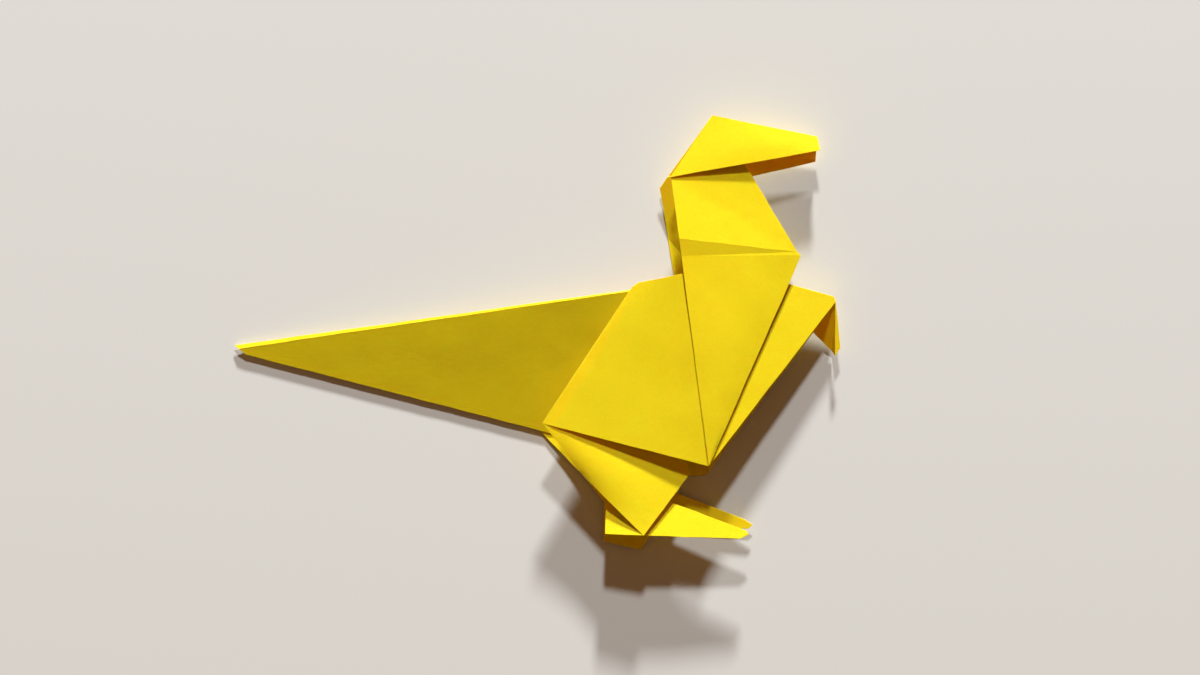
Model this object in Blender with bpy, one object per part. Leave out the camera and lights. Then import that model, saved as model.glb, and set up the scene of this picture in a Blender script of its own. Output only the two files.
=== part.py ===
"""A dinosaur folded from one square sheet of yellow paper, lying on its side.

The sheet is uncut, so the model is one closed body. Each panel between two
folds is a thin plate of the paper's thickness, and plates that share corners
meet in a fold. The folds lie on the sheet's 22.5 degree lines: its half side
gives the tail's length, and the vertex where neck, body and arm meet lies
half a side times the tangent of that angle below the ridge.

X runs from the tail to the head, Y from the feet to the crown, and Z from the
side it lies on to the side on top. Headings are degrees from +X towards +Y.
Heights are those of the paper's middle above the surface it lies on.
"""

import math

import bmesh
import bpy
from mathutils import Matrix, Vector

# Sheet
SHEET_SIDE = 0.150
PAPER_THICKNESS = 0.00015
FOLD_ANGLE = 22.5
PAPER_COLOUR = (0.88, 0.66, 0.012, 1.0)
PAPER_ROUGHNESS = 0.7
EDGE_SIDES = 8
EDGE_FLAT = 0.55
PATCH_CELLS = 6
SLOPE_STEP = 0.01

# Ridge and tail
RIDGE_HEADING = 8.0
TAIL_TIP_CUT = 0.0023
TAIL_TIP_CUT_HEADING = -39.0
TAIL_WALL_LENGTH = 0.0640
TAIL_RAW_EDGE_HIDDEN = 0.0070
TAIL_SPINE_TIP_WIDTH = 0.0008
TAIL_SPINE_END_WIDTH = 0.00018
TAIL_SPINE_RISE = 0.00025
TAIL_TIP_HEIGHT = 0.0006
TAIL_TIP_FAR_HEIGHT = 0.0002
TAIL_LOW_HEIGHT = 0.0006
TAIL_FAR_LOW_HEIGHT = 0.0002
TAIL_FAR_INSET = 0.0007
TAIL_DROP = 0.0004
TAIL_FAR_SHORTER = 0.0010
RIDGE_HEIGHT = 0.0058
LAYER_STEP = 0.00032

# Body
LEG_FOLD_SETBACK = 0.0084
BODY_LENGTH = 0.0284
BODY_BOW = -0.00012
BODY_RISE = 0.0010
BODY_CORNER_CUT = 0.0012
BODY_CORNER_HEADING = 34.0
BODY_TOP_HEIGHT = 0.0060
BODY_RIDGE_HEIGHT = 0.0067
BODY_LOW_HEIGHT = 0.0070
VERTEX_HEIGHT = 0.0062
FAR_SHIFT_X = -0.0004
FAR_SHIFT_Y = -0.0014
FAR_BODY_HEIGHT = 0.00032
FAR_BODY_OVERHANG = 0.0021

# Near leg and foot
KNEE_LENGTH = 0.0112
SHIN_LENGTH = 0.01384
SHIN_TURN = 7.8
LEG_FRONT_LENGTH = 0.0323
LEG_FRONT_HEADING = -73.05
LEG_BOW = 0.0003
KNEE_HEIGHT = 0.0061
ANKLE_HEIGHT = 0.0066
LEG_FRONT_HEIGHT = 0.0044
HEEL_LENGTH = 0.0063
HEEL_RISE = 0.0049
HEEL_HEADING = 89.0
HEEL_LOW_HEIGHT = 0.0060
HEEL_TOP_HEIGHT = 0.0048
SOLE_LENGTH = 0.02225
SOLE_HEADING = -2.0
TOE_CUT = 0.00155
TOE_CUT_HEADING = 26.6
TOE_NOSE = 0.00068
TOE_NOSE_HEADING = 124.0
TOE_HEIGHT = 0.0050
FOOT_START = 0.0059

# Far leg and foot
FAR_KNEE_HEIGHT = 0.0009
FAR_ANKLE_HEIGHT = 0.0007
FAR_LEG_FRONT_HEIGHT = 0.0012
FAR_SHIN_LENGTH = 0.0153
FAR_LEG_SHORTER = 0.0016
FAR_SOLE_HEADING = 167.4
FAR_HEEL_LENGTH = 0.0062
FAR_HEEL_RISE = 0.0063
FAR_HEEL_HEADING = 90.0
FAR_TOE_LENGTH = 0.0119
FAR_TOE_HEADING = -39.8
FAR_TOE_EDGE_HEADING = -20.8
FAR_TOE_CUT_HEADING = -35.0
FAR_TOE_NOSE = 0.00088
FAR_TOE_NOSE_HEADING = -137.0
FAR_TOE_HEIGHT = 0.0013
FAR_FOOT_WIDTH = 0.0045
FAR_FOOT_HEADING = 88.0

# Neck
NECK_HEADING = 97.4
NECK_CREASE_LENGTH = 0.0380
NECK_LENGTH = 0.0483
NECK_FOLD_HEADING = 66.4
NECK_FOLD_LENGTH = 0.0380
NECK_ROOT_WIDTH = 0.00045
NECK_BAND_WIDTH = 0.0030
NECK_BAND_DROP = 0.00022
CHEST_NUB = 0.0009
CHEST_NUB_TURN = 14.0
THROAT_LENGTH = 0.0177
THROAT_HEADING = 121.6
NECK_BOW = 0.0003
NECK_CREASE_HEIGHT = 0.0071
NAPE_HEIGHT = 0.0058
THROAT_HEIGHT = 0.0042
BEND_HEIGHT = 0.0043
FAR_NECK_HEIGHT = 0.00009
FAR_NECK_SPREAD = 0.0018
FAR_NAPE_SPREAD = 0.0006
FAR_NAPE_HEIGHT = 0.0013
FAR_NAPE_CUT = 0.0022
FAR_NAPE_CUT_HEADING = 236.0
FAR_FLAT_LENGTH = 0.0210

# Head
HEAD_BACK_LENGTH = 0.01218
HEAD_BACK_HEADING = 56.1
HEAD_RIDGE_LENGTH = 0.0177
HEAD_RIDGE_HEADING = -11.3
SNOUT_LENGTH = 0.0023
SNOUT_HEADING = -78.8
HEAD_BOW = 0.0002
CROWN_HEIGHT = 0.0043
SNOUT_HEIGHT = 0.0039
LIP_HEIGHT = 0.0046
HEAD_NAPE_HEIGHT = 0.0060
JAW_DROP = 0.00195
JAW_DROP_HEADING = 248.0
JAW_THROAT_DROP = 0.0021
JAW_THROAT_HEADING = 282.0
JAW_BACK_INSET = 0.0005
JAW_HEIGHT = 0.0017
SNOUT_FOLD_LENGTH = 0.0046
SNOUT_FOLD_HEADING = 191.0
SNOUT_FOLD_FRONT_SHARE = 0.6

# Arms and hand
ARM_HEADING = 52.8
ARM_LENGTH = 0.0336
ARM_TOP_HEADING = 164.6
ARM_TOP_TURN = 20.0
ELBOW_WIDTH = 0.0013
ELBOW_INSET = 0.0008
ELBOW_TURN = -18.0
ARM_HIDDEN = 0.0115
ARM_HEIGHT = 0.0038
ARM_ROOT_DROP = 0.0001
ARM_INNER_DROP = 0.0004
FAR_ARM_HEIGHT = 0.0026
FAR_ARM_SPREAD = 0.0004
FAR_ARM_SPREAD_HEADING = -7.0
HAND_LENGTH = 0.0089
HAND_HEADING = -90.0
HAND_OUTER_LENGTH = 0.00764
HAND_OUTER_HEADING = -84.3
HAND_INNER_LENGTH = 0.0082
HAND_INNER_HEADING = -93.5
HAND_TIP_HEIGHT = 0.0029
HAND_HOLLOW_START = 0.0007
HAND_HOLLOW_START_HEADING = -85.0
HAND_HOLLOW_WIDTH = 0.0061
HAND_HOLLOW_HEADING = -130.0
HAND_HOLLOW_HEIGHT = 0.0018
HAND_INNER_TIP_HEIGHT = 0.0007


def clear_scene():
    for old in list(bpy.data.objects):
        bpy.data.objects.remove(old, do_unlink=True)


def make_paper():
    paper = bpy.data.materials.new("yellow_paper")
    paper.use_nodes = True
    shader = paper.node_tree.nodes["Principled BSDF"]
    shader.inputs["Base Color"].default_value = PAPER_COLOUR
    shader.inputs["Roughness"].default_value = PAPER_ROUGHNESS
    shader.inputs["Metallic"].default_value = 0.0
    return paper


def step(start, heading, length):
    """The plan point that lies a length away from another on a heading."""
    angle = math.radians(heading)
    return Vector((start.x + length * math.cos(angle), start.y + length * math.sin(angle)))


def heading_to(start, end):
    return math.degrees(math.atan2(end.y - start.y, end.x - start.x))


def between(start, end, share):
    return start + (end - start) * share


def raised(place, height):
    """A plan point at a height."""
    return Vector((place.x, place.y, height))


def in_plane(corner, origin, normal):
    """Puts a plan corner at the height where a panel's plane is."""
    if len(corner) == 3:
        return corner
    drop = normal.x * (corner.x - origin.x) + normal.y * (corner.y - origin.y)
    return raised(corner, origin.z - drop / normal.z)


def edge_ring(centre, turn):
    """Points round one corner of a plate, which give its edges a round section."""
    half = PAPER_THICKNESS / 2.0
    ring = []
    for side in range(EDGE_SIDES):
        angle = math.tau * side / EDGE_SIDES
        out = Vector((math.cos(angle), math.sin(angle), 0.0))
        for height, radius in ((0.0, half), (half, half * EDGE_FLAT), (-half, half * EDGE_FLAT)):
            ring.append(centre + turn @ (out * radius + Vector((0.0, 0.0, height))))
    return ring


def panel(*corners):
    """A flat convex plate. Its first three corners fix its plane, and plan corners lie in it."""
    origin = corners[0]
    normal = (corners[1] - origin).cross(corners[2] - origin).normalized()
    turn = normal.to_track_quat("Z", "X").to_matrix()
    points = []
    for corner in corners:
        points += edge_ring(in_plane(corner, origin, normal), turn)
    form = bmesh.new()
    for point in points:
        form.verts.new(point)
    hull = bmesh.ops.convex_hull(form, input=form.verts)
    inside = hull["geom_interior"] + hull["geom_unused"]
    loose = {item for item in inside if isinstance(item, bmesh.types.BMVert)}
    bmesh.ops.delete(form, geom=list(loose), context="VERTS")
    return form


def patch(first, second, third, fourth, bow=0.0):
    """A softly bent plate between four corners, taken in turn, with its middle raised by the bow."""
    half = PAPER_THICKNESS / 2.0
    across = half / max((second - first).length, (third - fourth).length)
    along = half / max((fourth - first).length, (third - second).length)

    def surface(u, v):
        edge_one = first.lerp(second, u)
        edge_two = fourth.lerp(third, u)
        lift = bow * math.sin(math.pi * u) * math.sin(math.pi * v)
        return edge_one.lerp(edge_two, v) + Vector((0.0, 0.0, lift))

    count = PATCH_CELLS + 1
    form = bmesh.new()
    upper, lower = [], []
    for row in range(count):
        v = -along + (1.0 + 2.0 * along) * row / PATCH_CELLS
        for column in range(count):
            u = -across + (1.0 + 2.0 * across) * column / PATCH_CELLS
            place = surface(u, v)
            slope_u = surface(u + SLOPE_STEP, v) - surface(u - SLOPE_STEP, v)
            slope_v = surface(u, v + SLOPE_STEP) - surface(u, v - SLOPE_STEP)
            normal = slope_u.cross(slope_v).normalized()
            upper.append(form.verts.new(place + normal * half))
            lower.append(form.verts.new(place - normal * half))
    rim = list(range(count))
    rim += [row * count + count - 1 for row in range(1, count)]
    rim += [count * (count - 1) + column for column in range(count - 2, -1, -1)]
    rim += [row * count for row in range(count - 2, 0, -1)]
    for row in range(PATCH_CELLS):
        for column in range(PATCH_CELLS):
            corner = row * count + column
            cell = (corner, corner + 1, corner + count + 1, corner + count)
            form.faces.new([upper[index] for index in cell])
            form.faces.new([lower[index] for index in reversed(cell)])
    for start, end in zip(rim, rim[1:] + rim[:1]):
        form.faces.new((upper[start], lower[start], lower[end], upper[end]))
    bmesh.ops.triangulate(form, faces=form.faces)
    return form


def plan_corners():
    """The corners in plan that several panels share."""
    plan = {"vertex": Vector((0.0, 0.0))}
    plan["ridge_end"] = step(plan["vertex"], RIDGE_HEADING + 90.0,
                             SHEET_SIDE / 2.0 * math.tan(math.radians(FOLD_ANGLE)))
    plan["tail_end"] = step(plan["ridge_end"], RIDGE_HEADING - 90.0, TAIL_DROP)
    plan["tail_tip"] = step(plan["tail_end"], RIDGE_HEADING + 180.0, SHEET_SIDE / 2.0)
    plan["fold_top"] = step(plan["ridge_end"], RIDGE_HEADING + 180.0, LEG_FOLD_SETBACK)
    plan["body_corner"] = step(plan["fold_top"], BODY_CORNER_HEADING, BODY_CORNER_CUT)
    plan["body_ridge"] = step(plan["ridge_end"], RIDGE_HEADING + 90.0, BODY_RISE)
    plan["fold_low"] = step(plan["vertex"], RIDGE_HEADING + 180.0 - FOLD_ANGLE, BODY_LENGTH)
    fold_heading = heading_to(plan["fold_low"], plan["fold_top"])
    leg_heading = 2.0 * fold_heading - (RIDGE_HEADING + 180.0 - FOLD_ANGLE)
    plan["knee"] = step(plan["fold_low"], leg_heading, KNEE_LENGTH)
    plan["ankle"] = step(plan["knee"], leg_heading + SHIN_TURN, SHIN_LENGTH)
    plan["leg_front"] = step(plan["fold_top"], LEG_FRONT_HEADING, LEG_FRONT_LENGTH)
    plan["far_ankle"] = step(plan["knee"], leg_heading, FAR_SHIN_LENGTH)
    plan["crease_nape"] = step(plan["vertex"], NECK_HEADING, NECK_CREASE_LENGTH)
    plan["nape"] = step(plan["vertex"], NECK_HEADING, NECK_LENGTH)
    plan["bend"] = step(plan["vertex"], NECK_FOLD_HEADING, NECK_FOLD_LENGTH)
    plan["throat"] = step(plan["bend"], THROAT_HEADING, THROAT_LENGTH)
    plan["crease_chest"] = step(plan["bend"], THROAT_HEADING + CHEST_NUB_TURN, CHEST_NUB)
    plan["crown"] = step(plan["nape"], HEAD_BACK_HEADING, HEAD_BACK_LENGTH)
    plan["snout_top"] = step(plan["crown"], HEAD_RIDGE_HEADING, HEAD_RIDGE_LENGTH)
    plan["snout_low"] = step(plan["snout_top"], SNOUT_HEADING, SNOUT_LENGTH)
    plan["arm_outer"] = step(plan["vertex"], ARM_HEADING, ARM_LENGTH)
    plan["elbow"] = step(plan["arm_outer"], ARM_HEADING + ELBOW_TURN, ELBOW_INSET)
    plan["arm_top"] = step(plan["arm_outer"], ARM_HEADING + ARM_TOP_TURN, ELBOW_WIDTH)
    plan["far_shift"] = Vector((FAR_SHIFT_X, FAR_SHIFT_Y))
    return plan


def tail_panels(plan):
    """The near and far walls hang from the ridge, and a narrow spine joins them along it."""
    tip = raised(plan["tail_tip"], TAIL_TIP_HEIGHT)
    tail_end = raised(plan["tail_end"], RIDGE_HEIGHT)
    hidden = between(tail_end, tip, TAIL_RAW_EDGE_HIDDEN / (SHEET_SIDE / 2.0))
    cut = step(plan["tail_tip"], TAIL_TIP_CUT_HEADING, TAIL_TIP_CUT)
    low_end = raised(step(cut, RIDGE_HEADING - FOLD_ANGLE, TAIL_WALL_LENGTH), TAIL_LOW_HEIGHT)
    spine_tip = raised(step(plan["tail_tip"], TAIL_TIP_CUT_HEADING, TAIL_SPINE_TIP_WIDTH),
                       TAIL_TIP_HEIGHT + TAIL_SPINE_RISE)
    spine_end = raised(step(hidden, RIDGE_HEADING - 90.0, TAIL_SPINE_END_WIDTH),
                       hidden.z + TAIL_SPINE_RISE)
    far_cut = step(cut, RIDGE_HEADING + 90.0, TAIL_FAR_INSET)
    far_tip = raised(far_cut, TAIL_TIP_FAR_HEIGHT)
    far_length = TAIL_WALL_LENGTH - TAIL_FAR_SHORTER
    far_end = raised(step(far_cut, RIDGE_HEADING - FOLD_ANGLE, far_length), TAIL_FAR_LOW_HEIGHT)
    return [
        panel(spine_tip, spine_end, low_end, cut),
        patch(tip, hidden, spine_end, spine_tip),
        panel(tip, tail_end, far_end),
        panel(tip, far_end, far_tip),
    ]


def body_panels(plan):
    fold_top = raised(plan["fold_top"], BODY_TOP_HEIGHT)
    corner = raised(plan["body_corner"], BODY_TOP_HEIGHT)
    fold_low = raised(plan["fold_low"], BODY_LOW_HEIGHT)
    ridge = raised(plan["body_ridge"], BODY_RIDGE_HEIGHT)
    tail_end = raised(plan["tail_end"], RIDGE_HEIGHT)
    vertex = raised(plan["vertex"], VERTEX_HEIGHT)
    far_top, far_low, far_vertex, far_ridge = (
        raised(plan[name] + plan["far_shift"], FAR_BODY_HEIGHT)
        for name in ("fold_top", "fold_low", "vertex", "ridge_end")
    )
    overhang = step(plan["vertex"] + plan["far_shift"], RIDGE_HEADING + 180.0, FAR_BODY_OVERHANG)
    return [
        patch(corner, ridge, vertex, fold_low, BODY_BOW),
        panel(fold_top, corner, fold_low),
        panel(corner, ridge, tail_end, plan["fold_top"]),
        panel(far_top, far_low, far_vertex, overhang, far_ridge),
    ]


def near_leg_panels(plan):
    fold_top = raised(plan["fold_top"], BODY_TOP_HEIGHT)
    fold_low = raised(plan["fold_low"], BODY_LOW_HEIGHT)
    knee = raised(plan["knee"], KNEE_HEIGHT)
    ankle = raised(plan["ankle"], ANKLE_HEIGHT)
    front = raised(plan["leg_front"], LEG_FRONT_HEIGHT)
    heel = step(plan["ankle"], SOLE_HEADING + 180.0, HEEL_LENGTH)
    heel_low = raised(heel, HEEL_LOW_HEIGHT)
    heel_top = raised(step(heel, HEEL_HEADING, HEEL_RISE), HEEL_TOP_HEIGHT)
    sole_end = step(heel, SOLE_HEADING, SOLE_LENGTH)
    toe = step(sole_end, TOE_CUT_HEADING, TOE_CUT)
    toe_top = raised(step(toe, TOE_NOSE_HEADING, TOE_NOSE), TOE_HEIGHT)
    instep = between(plan["leg_front"], plan["ankle"], FOOT_START / (front - ankle).length)
    return [
        panel(fold_top, fold_low, front),
        patch(fold_low, front, ankle, knee, LEG_BOW),
        panel(front, ankle, heel_low),
        panel(front, heel_low, heel_top),
        panel(heel_top, heel_low, toe_top, sole_end, toe, instep),
    ]


def far_leg_panels(plan):
    shift = plan["far_shift"]
    fold_top = raised(plan["fold_top"] + shift, FAR_BODY_HEIGHT)
    fold_low = raised(plan["fold_low"] + shift, FAR_BODY_HEIGHT)
    knee = raised(plan["knee"], FAR_KNEE_HEIGHT)
    ankle = raised(plan["far_ankle"], FAR_ANKLE_HEIGHT)
    front = raised(step(plan["leg_front"], LEG_FRONT_HEADING + 180.0, FAR_LEG_SHORTER),
                   FAR_LEG_FRONT_HEIGHT)
    heel = step(plan["far_ankle"], FAR_SOLE_HEADING, FAR_HEEL_LENGTH)
    heel_low = raised(heel, FAR_ANKLE_HEIGHT)
    heel_top = raised(step(heel, FAR_HEEL_HEADING, FAR_HEEL_RISE), FAR_KNEE_HEIGHT)
    toe = step(plan["leg_front"], FAR_TOE_HEADING, FAR_TOE_LENGTH)
    toe_top = raised(toe, FAR_TOE_HEIGHT)
    toe_nose = step(toe, FAR_TOE_CUT_HEADING, TOE_CUT)
    toe_low = step(toe_nose, FAR_TOE_NOSE_HEADING, FAR_TOE_NOSE)
    instep = raised(step(toe, FAR_TOE_EDGE_HEADING + 180.0, FAR_TOE_LENGTH),
                    FAR_LEG_FRONT_HEIGHT)
    middle = step(plan["far_ankle"], FAR_FOOT_HEADING, FAR_FOOT_WIDTH)
    return [
        panel(fold_top, fold_low, front),
        panel(fold_low, knee, front),
        panel(knee, ankle, front),
        panel(heel_top, heel_low, ankle, middle),
        panel(front, heel_low, heel_top),
        panel(instep, raised(middle, FAR_ANKLE_HEIGHT + LAYER_STEP), toe_top, toe_nose, toe_low),
        panel(front, instep, ankle),
    ]


def neck_panels(plan):
    """The near side is folded at the crease, and the far side lies flat below it."""
    vertex = raised(plan["vertex"], VERTEX_HEIGHT + LAYER_STEP)
    crease_nape = raised(plan["crease_nape"], NECK_CREASE_HEIGHT)
    crease_chest = raised(plan["crease_chest"], BEND_HEIGHT)
    band_share = NECK_BAND_WIDTH / NECK_CREASE_LENGTH
    band_low = between(crease_nape, vertex, band_share) - Vector((0.0, 0.0, NECK_BAND_DROP))
    bend = raised(plan["bend"], BEND_HEIGHT)
    nape = raised(plan["nape"], NAPE_HEIGHT)
    throat = raised(plan["throat"], THROAT_HEIGHT)
    crown = raised(plan["crown"], CROWN_HEIGHT)
    root = raised(step(plan["vertex"], NECK_FOLD_HEADING, NECK_ROOT_WIDTH), vertex.z)
    far_nape = step(plan["nape"], 180.0, FAR_NAPE_SPREAD)
    far_top = raised(step(far_nape, FAR_NAPE_CUT_HEADING, FAR_NAPE_CUT), FAR_NAPE_HEIGHT)
    far_crease = raised(step(plan["crease_nape"], 180.0, FAR_NECK_SPREAD), FAR_NECK_HEIGHT)
    far_vertex = raised(plan["vertex"] + plan["far_shift"], FAR_NECK_HEIGHT)
    far_flat = raised(step(plan["vertex"], NECK_FOLD_HEADING, FAR_FLAT_LENGTH), FAR_NECK_HEIGHT)
    return [
        patch(band_low, bend, root, vertex, NECK_BOW),
        panel(crease_nape, crease_chest, band_low),
        panel(band_low, crease_chest, bend),
        panel(nape, throat, crease_chest),
        panel(nape, crease_chest, crease_nape),
        panel(nape, throat, crown),
        panel(far_crease, far_vertex, far_flat),
        panel(far_crease, far_flat, bend),
        panel(far_crease, bend, crease_chest),
        panel(far_crease, crease_chest, throat),
        panel(far_crease, throat, far_top, far_nape),
        panel(far_top, throat, crown),
    ]


def head_panels(plan):
    """The near side, and the jaw of the far side with the snout's tip folded into it."""
    crown = raised(plan["crown"], CROWN_HEIGHT)
    snout_top = raised(plan["snout_top"], SNOUT_HEIGHT)
    snout_low = raised(plan["snout_low"], LIP_HEIGHT)
    nape = raised(plan["nape"], HEAD_NAPE_HEIGHT)
    jaw_front = raised(step(plan["snout_low"], JAW_DROP_HEADING, JAW_DROP), JAW_HEIGHT)
    jaw_throat = raised(step(plan["throat"], JAW_THROAT_HEADING, JAW_THROAT_DROP), JAW_HEIGHT)
    jaw_back = raised(step(plan["nape"], 0.0, JAW_BACK_INSET), JAW_HEIGHT)
    fold_front = between(snout_top, jaw_front, SNOUT_FOLD_FRONT_SHARE)
    fold_back = step(plan["snout_low"], SNOUT_FOLD_HEADING, SNOUT_FOLD_LENGTH)
    return [
        patch(crown, snout_top, snout_low, nape, HEAD_BOW),
        panel(crown, snout_top, jaw_front),
        panel(crown, jaw_front, jaw_throat),
        panel(crown, jaw_throat, jaw_back),
        panel(jaw_front, fold_front, raised(fold_back, JAW_HEIGHT + LAYER_STEP)),
    ]


def arm_panels(plan):
    """Both sides of the arm, and the hand that hangs folded and hollow from its end."""
    root = raised(plan["vertex"], VERTEX_HEIGHT - ARM_ROOT_DROP)
    top = raised(plan["arm_top"], ARM_HEIGHT)
    inner = step(plan["arm_top"], ARM_TOP_HEADING, ARM_HIDDEN)
    inner_top = raised(inner, BEND_HEIGHT - ARM_INNER_DROP)
    far_root = raised(plan["vertex"] + plan["far_shift"], FAR_NECK_HEIGHT)
    far_inner = raised(inner, FAR_ARM_HEIGHT)
    far_top = raised(plan["arm_top"], FAR_ARM_HEIGHT)
    far_outer = step(plan["arm_outer"], FAR_ARM_SPREAD_HEADING, FAR_ARM_SPREAD)
    elbow = raised(plan["elbow"], ARM_HEIGHT - LAYER_STEP)
    outer = raised(step(plan["elbow"], HAND_OUTER_HEADING, HAND_OUTER_LENGTH), HAND_TIP_HEIGHT)
    tip = raised(step(plan["elbow"], HAND_HEADING, HAND_LENGTH), HAND_TIP_HEIGHT)
    inner_tip = raised(step(plan["elbow"], HAND_INNER_HEADING, HAND_INNER_LENGTH),
                       HAND_INNER_TIP_HEIGHT)
    hollow_top = raised(step(plan["arm_outer"], HAND_HOLLOW_START_HEADING, HAND_HOLLOW_START),
                        ARM_HEIGHT - LAYER_STEP)
    hollow_side = raised(step(plan["elbow"], HAND_HOLLOW_HEADING, HAND_HOLLOW_WIDTH),
                         HAND_HOLLOW_HEIGHT)
    return [
        panel(root, inner_top, top, plan["elbow"], plan["arm_outer"]),
        panel(far_root, far_inner, far_top, far_outer),
        panel(elbow, outer, tip),
        panel(elbow, tip, inner_tip),
        panel(elbow, inner_tip, hollow_top),
        panel(hollow_top, inner_tip, hollow_side),
        panel(top, far_top, far_inner),
    ]


def resting_shift(forms):
    """Moves the model so that its box is centred over the origin and stands on Z = 0."""
    points = [vert.co for form in forms for vert in form.verts]
    low = [min(point[axis] for point in points) for axis in range(3)]
    high = [max(point[axis] for point in points) for axis in range(3)]
    return Vector((-(low[0] + high[0]) / 2.0, -(low[1] + high[1]) / 2.0, -low[2]))


def make_plate(name, form, shift):
    mesh = bpy.data.meshes.new(name)
    bmesh.ops.translate(form, vec=shift, verts=form.verts)
    bmesh.ops.recalc_face_normals(form, faces=form.faces)
    form.to_mesh(mesh)
    form.free()
    return bpy.data.objects.new(name, mesh)


def build():
    clear_scene()
    paper = make_paper()
    plan = plan_corners()
    forms = body_panels(plan) + tail_panels(plan) + near_leg_panels(plan) + far_leg_panels(plan)
    forms += neck_panels(plan) + head_panels(plan) + arm_panels(plan)
    shift = resting_shift(forms)

    sheet = make_plate("folded_sheet", forms[0], shift)
    sheet.data.materials.append(paper)
    bpy.context.scene.collection.objects.link(sheet)

    helpers = bpy.data.collections.new("panels")
    bpy.context.scene.collection.children.link(helpers)
    for number, form in enumerate(forms[1:], start=1):
        plate = make_plate(f"panel_{number:02d}", form, shift)
        plate.hide_render = True
        plate.display_type = "WIRE"
        plate.data.materials.append(paper)
        helpers.objects.link(plate)

    join = sheet.modifiers.new("join_at_folds", "BOOLEAN")
    join.operation = "UNION"
    join.operand_type = "COLLECTION"
    join.collection = helpers
    join.solver = "MANIFOLD"


build()
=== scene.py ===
import math

import bmesh
import bpy
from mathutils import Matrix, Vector, noise


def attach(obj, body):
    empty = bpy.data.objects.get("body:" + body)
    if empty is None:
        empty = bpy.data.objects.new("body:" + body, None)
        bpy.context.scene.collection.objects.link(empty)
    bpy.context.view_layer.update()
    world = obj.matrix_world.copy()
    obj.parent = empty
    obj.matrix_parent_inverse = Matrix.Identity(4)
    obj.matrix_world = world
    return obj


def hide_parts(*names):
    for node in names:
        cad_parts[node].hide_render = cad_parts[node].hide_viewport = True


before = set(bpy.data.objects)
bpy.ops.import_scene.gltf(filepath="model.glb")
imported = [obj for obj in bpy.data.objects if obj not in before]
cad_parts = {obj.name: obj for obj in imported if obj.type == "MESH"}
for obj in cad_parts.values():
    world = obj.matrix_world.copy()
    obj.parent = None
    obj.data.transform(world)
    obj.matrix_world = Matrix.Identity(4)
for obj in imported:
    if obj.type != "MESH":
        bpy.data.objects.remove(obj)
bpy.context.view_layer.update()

MM = 0.001

# The photograph's frame on the surface, seen straight from above
IMAGE_WIDTH = 198.9 * MM
VIEW_CENTRE = (10.4 * MM, -0.8 * MM)
VIEW_LEVEL = 4.0 * MM
CAMERA_HEIGHT = 2.5
SENSOR_WIDTH = 36.0

# The folded sheet's mesh
NODE = "folded_sheet"
WELD_DISTANCE = 0.0001 * MM
FLAT_ANGLE = math.radians(0.3)
CELL_SIZE = 1.8 * MM
SPLIT_ROUNDS = 8
SLIVER_WIDTH = 0.012 * MM
SLIVER_ROUNDS = 12
CREASE_ANGLE = math.radians(20.0)

# The narrow faces along its cut edges and folds, which take a paler colour: partly the paper's
# lighter cut edge, partly a painted highlight
PANEL_SLOT = 0
RIM_SLOT = 1
RIM_WIDTH = 0.12 * MM
RIM_LEAST_LENGTH = 1.5 * MM
RIM_MOST_LEVEL = 0.7

# Paper that has been handled: long soft waves, and edges that aren't ruled
WAVE_LENGTH = 14.0 * MM
WAVE_HEIGHT = 0.14 * MM
WAVE_DETAIL = 2.3
WAVE_DETAIL_SHARE = 0.4
WAVE_FULL_AT = 3.0 * MM
WAVE_SEED = Vector((3.7, 9.1, 1.3))
EDGE_WANDER_LENGTH = 3.0 * MM
EDGE_WANDER = 0.07 * MM
WANDER_SEED = Vector((11.3, 4.9, 7.7))
NOISE_SEED = 7

# The paper's colour, its pulp and fibres, and the light that passes through it
YELLOW = (0.96, 0.705, 0.012, 1.0)
YELLOW_DEEP = (0.90, 0.62, 0.006, 1.0)
# Paler colour of the rims: partly the lighter cut paper, partly a painted highlight along every
# edge
YELLOW_PALE_AND_HIGHLIGHT = (0.96, 0.76, 0.05, 1.0)
PAPER_ROUGHNESS = 0.7
PAPER_SPECULAR = 0.08
GLOW_SHARE = 0.45
GLOW_RADIUS = (1.0, 0.28, 0.04)
GLOW_SCALE = 0.5 * MM
NOISE_ROUGHNESS = 0.5
MOTTLE_SCALE = 420.0
MOTTLE_DETAIL = 8.0
MOTTLE_ROUGHNESS = 0.7
MOTTLE_RANGE = (0.25, 0.75)
GRAIN_SCALE = 3000.0
GRAIN_DETAIL = 2.0
GRAIN_RANGE = (0.28, 0.72)
GRAIN_SHARE = 0.5
FIBRE_SCALE = 2600.0
FIBRE_DETAIL = 4.0
FIBRE_STRETCH = (0.35, 1.0, 1.0)
FIBRE_BUMP = 0.3
FIBRE_DEPTH = 0.06 * MM

# The pale surface that it lies on
FLOOR_COLOUR = (0.72, 0.71, 0.695, 1.0)
FLOOR_ROUGHNESS = 0.95
FLOOR_SPECULAR = 0.0
FLOOR_REACH = 3.0

# Light: two soft lamps beyond the head, one above the other, and an even fill
LAMP_DISTANCE = 3.0
LAMP_SIZE = 0.25
LAMP_COLOUR = (0.96, 1.0, 0.99)
HIGH_KEY = {"elevation": 34.0, "azimuth": 88.0, "power": 60.0}
LOW_KEY = {"elevation": 16.0, "azimuth": 85.0, "power": 160.0}
FILL_COLOUR = (1.0, 0.52, 0.24, 1.0)
FILL_STRENGTH = 0.16


def is_rim(face):
    """A long narrow face that looks sideways is a cut edge or a fold of the paper."""
    length = face.calc_perimeter() / 2.0
    width = face.calc_area() / length
    level = abs(face.normal.z)
    return width < RIM_WIDTH and length > RIM_LEAST_LENGTH and level < RIM_MOST_LEVEL


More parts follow.
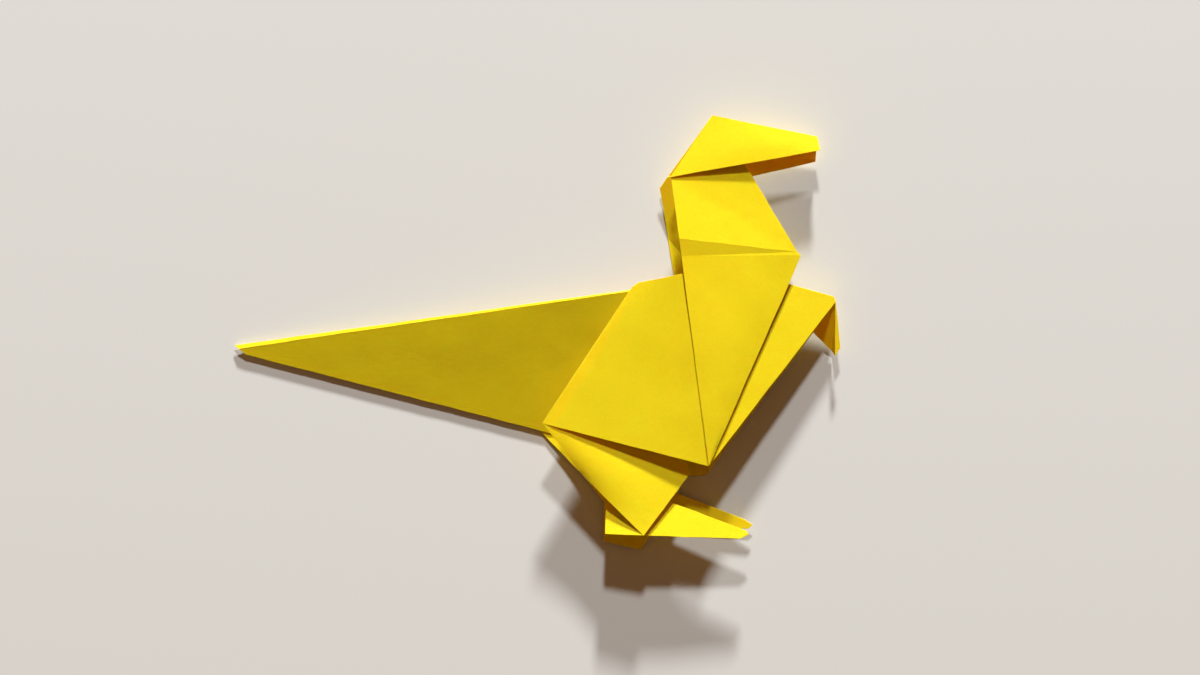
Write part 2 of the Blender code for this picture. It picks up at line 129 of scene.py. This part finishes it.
def clean(form):
    """Joins what is flat, tells the rims from the panels, and leaves triangles."""
    bmesh.ops.remove_doubles(form, verts=form.verts, dist=WELD_DISTANCE)
    bmesh.ops.dissolve_limit(form, angle_limit=FLAT_ANGLE, verts=form.verts, edges=form.edges)
    for face in form.faces:
        # Rims get the paler edge material, which is partly a painted highlight
        face.material_index = RIM_SLOT if is_rim(face) else PANEL_SLOT
    bmesh.ops.triangulate(form, faces=form.faces)


def refine(form):
    """Splits every long edge, so that the flat panels can bend a little."""
    for _ in range(SPLIT_ROUNDS):
        long_edges = [edge for edge in form.edges if edge.calc_length() > CELL_SIZE]
        if not long_edges:
            return
        bmesh.ops.subdivide_edges(form, edges=long_edges, cuts=1)
        bmesh.ops.triangulate(form, faces=form.faces)


def soften(form):
    """The stack of panels waves a little as one, and stays flat where it lies on the surface."""
    noise.seed_set(NOISE_SEED)
    for vert in form.verts:
        plan = Vector((vert.co.x, vert.co.y, 0.0))
        place = plan / WAVE_LENGTH + WAVE_SEED
        wave = noise.noise(place) + WAVE_DETAIL_SHARE * noise.noise(place * WAVE_DETAIL)
        wander = noise.noise_vector(plan / EDGE_WANDER_LENGTH + WANDER_SEED) * EDGE_WANDER
        vert.co.z += wave * WAVE_HEIGHT * min(1.0, vert.co.z / WAVE_FULL_AT)
        vert.co.x += wander.x
        vert.co.y += wander.y


def is_sliver(face):
    """A triangle that is lower over its longest edge than the least width."""
    longest = max(edge.calc_length() for edge in face.edges)
    return 2.0 * face.calc_area() < SLIVER_WIDTH * longest


def panel_normals(form):
    """One normal for each face, where a sliver takes that of the face along its longest edge."""
    form.faces.index_update()
    form.normal_update()
    normals = [face.normal.copy() for face in form.faces]
    slivers = [face for face in form.faces if is_sliver(face)]
    open_faces = {face.index for face in slivers}
    for _ in range(SLIVER_ROUNDS):
        for face in slivers:
            edges = sorted(face.edges, key=lambda edge: edge.calc_length(), reverse=True)
            for edge in edges:
                beside = [other for other in edge.link_faces if other.index not in open_faces]
                if face.index in open_faces and beside:
                    largest = max(beside, key=lambda other: other.calc_area())
                    normals[face.index] = normals[largest.index]
                    open_faces.discard(face.index)
    return normals


def soft_normals(form):
    """A normal for each corner: smooth over soft creases, and apart where the paper is folded."""
    normals = panel_normals(form)
    areas = [face.calc_area() for face in form.faces]
    least_dot = math.cos(CREASE_ANGLE)
    corners = []
    for face in form.faces:
        own = normals[face.index]
        for vert in face.verts:
            total = own * areas[face.index]
            for other in vert.link_faces:
                if other is not face and own.dot(normals[other.index]) > least_dot:
                    total = total + normals[other.index] * areas[other.index]
            corners.append(total.normalized() if total.length > 0.0 else own)
    return corners


def add_noise(tree, place, scale, detail, roughness=NOISE_ROUGHNESS):
    """A cloudy noise through the paper, and its output."""
    cloud = tree.nodes.new("ShaderNodeTexNoise")
    cloud.inputs["Scale"].default_value = scale
    cloud.inputs["Detail"].default_value = detail
    cloud.inputs["Roughness"].default_value = roughness
    tree.links.new(place, cloud.inputs["Vector"])
    return cloud.outputs["Fac"]


def add_spread(tree, value, limits):
    """Spreads what lies between two limits over the whole range."""
    spread = tree.nodes.new("ShaderNodeMapRange")
    spread.inputs["From Min"].default_value = limits[0]
    spread.inputs["From Max"].default_value = limits[1]
    tree.links.new(value, spread.inputs["Value"])
    return spread.outputs["Result"]


def make_paper(name, colour, deep):
    """Matte coloured paper: mottled pulp and fine fibres, and a warm glow through thin places."""
    material = bpy.data.materials.new(name)
    material.use_nodes = True
    tree = material.node_tree
    shader = tree.nodes["Principled BSDF"]
    shader.inputs["Roughness"].default_value = PAPER_ROUGHNESS
    shader.inputs["Specular IOR Level"].default_value = PAPER_SPECULAR
    shader.inputs["Subsurface Weight"].default_value = GLOW_SHARE
    shader.inputs["Subsurface Radius"].default_value = GLOW_RADIUS
    shader.inputs["Subsurface Scale"].default_value = GLOW_SCALE

    place = tree.nodes.new("ShaderNodeTexCoord").outputs["Object"]
    mottle = add_noise(tree, place, MOTTLE_SCALE, MOTTLE_DETAIL, MOTTLE_ROUGHNESS)
    grain = add_noise(tree, place, GRAIN_SCALE, GRAIN_DETAIL)
    pulp = tree.nodes.new("ShaderNodeMix")
    pulp.data_type = "FLOAT"
    pulp.inputs["Factor"].default_value = GRAIN_SHARE
    tree.links.new(add_spread(tree, mottle, MOTTLE_RANGE), pulp.inputs["A"])
    tree.links.new(add_spread(tree, grain, GRAIN_RANGE), pulp.inputs["B"])
    tint = tree.nodes.new("ShaderNodeMix")
    tint.data_type = "RGBA"
    tint.inputs["A"].default_value = deep
    tint.inputs["B"].default_value = colour
    tree.links.new(pulp.outputs["Result"], tint.inputs["Factor"])
    tree.links.new(tint.outputs["Result"], shader.inputs["Base Color"])

    stretch = tree.nodes.new("ShaderNodeMapping")
    stretch.inputs["Scale"].default_value = FIBRE_STRETCH
    tree.links.new(place, stretch.inputs["Vector"])
    fibre = add_noise(tree, stretch.outputs["Vector"], FIBRE_SCALE, FIBRE_DETAIL)
    bump = tree.nodes.new("ShaderNodeBump")
    bump.inputs["Strength"].default_value = FIBRE_BUMP
    bump.inputs["Distance"].default_value = FIBRE_DEPTH
    tree.links.new(fibre, bump.inputs["Height"])
    tree.links.new(bump.outputs["Normal"], shader.inputs["Normal"])
    return material


def make_sheet():
    """The folded sheet, from its own solid, in place of it."""
    form = bmesh.new()
    form.from_mesh(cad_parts[NODE].data)
    clean(form)
    refine(form)
    soften(form)
    normals = soft_normals(form)
    mesh = bpy.data.meshes.new("paper_dinosaur")
    form.to_mesh(mesh)
    form.free()
    mesh.materials.append(make_paper("paper_face", YELLOW, YELLOW_DEEP))
    # The paler edge material: partly lighter cut paper, partly a painted highlight
    mesh.materials.append(make_paper("paper_edge_and_painted_highlight", YELLOW_PALE_AND_HIGHLIGHT, YELLOW))
    mesh.shade_smooth()
    mesh.normals_split_custom_set(normals)
    sheet = bpy.data.objects.new("paper_dinosaur", mesh)
    bpy.context.scene.collection.objects.link(sheet)
    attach(sheet, "root")
    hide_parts(NODE)


def make_floor():
    """A plain matte square, wide enough for every view."""
    mesh = bpy.data.meshes.new("floor")
    signs = ((-1, -1), (1, -1), (1, 1), (-1, 1))
    corners = [(x * FLOOR_REACH, y * FLOOR_REACH, 0.0) for x, y in signs]
    mesh.from_pydata(corners, [], [(0, 1, 2, 3)])
    floor = bpy.data.objects.new("floor", mesh)
    material = bpy.data.materials.new("floor_matte")
    material.use_nodes = True
    shader = material.node_tree.nodes["Principled BSDF"]
    shader.inputs["Base Color"].default_value = FLOOR_COLOUR
    shader.inputs["Roughness"].default_value = FLOOR_ROUGHNESS
    shader.inputs["Specular IOR Level"].default_value = FLOOR_SPECULAR
    mesh.materials.append(material)
    bpy.context.scene.collection.objects.link(floor)


def add_lamp(name, elevation, azimuth, power):
    """A round lamp that shines on the origin from an elevation and a heading in plan."""
    lamp = bpy.data.lights.new(name, "AREA")
    lamp.shape = "DISK"
    lamp.size = LAMP_SIZE
    lamp.energy = power
    lamp.color = LAMP_COLOUR
    up = math.radians(elevation)
    turn = math.radians(azimuth)
    place = Vector((math.cos(up) * math.cos(turn), math.cos(up) * math.sin(turn), math.sin(up)))
    obj = bpy.data.objects.new(name, lamp)
    obj.location = place * LAMP_DISTANCE
    obj.rotation_euler = (-place).to_track_quat("-Z", "Y").to_euler()
    bpy.context.scene.collection.objects.link(obj)


def make_lights():
    """The two lamps, and the warm fill from all around."""
    add_lamp("high_key", **HIGH_KEY)
    add_lamp("low_key", **LOW_KEY)
    world = bpy.data.worlds.new("studio")
    bpy.context.scene.world = world
    world.use_nodes = True
    background = world.node_tree.nodes["Background"]
    background.inputs["Color"].default_value = FILL_COLOUR
    background.inputs["Strength"].default_value = FILL_STRENGTH


def make_camera():
    """A long lens high above, which frames the surface as the photograph does."""
    lens = bpy.data.cameras.new("camera")
    lens.sensor_width = SENSOR_WIDTH
    lens.lens = SENSOR_WIDTH * (CAMERA_HEIGHT - VIEW_LEVEL) / IMAGE_WIDTH
    camera = bpy.data.objects.new("camera", lens)
    camera.location = (VIEW_CENTRE[0], VIEW_CENTRE[1], CAMERA_HEIGHT)
    bpy.context.scene.collection.objects.link(camera)
    bpy.context.scene.camera = camera


bpy.context.scene.view_settings.view_transform = "Standard"
make_camera()
make_sheet()
make_floor()
make_lights()
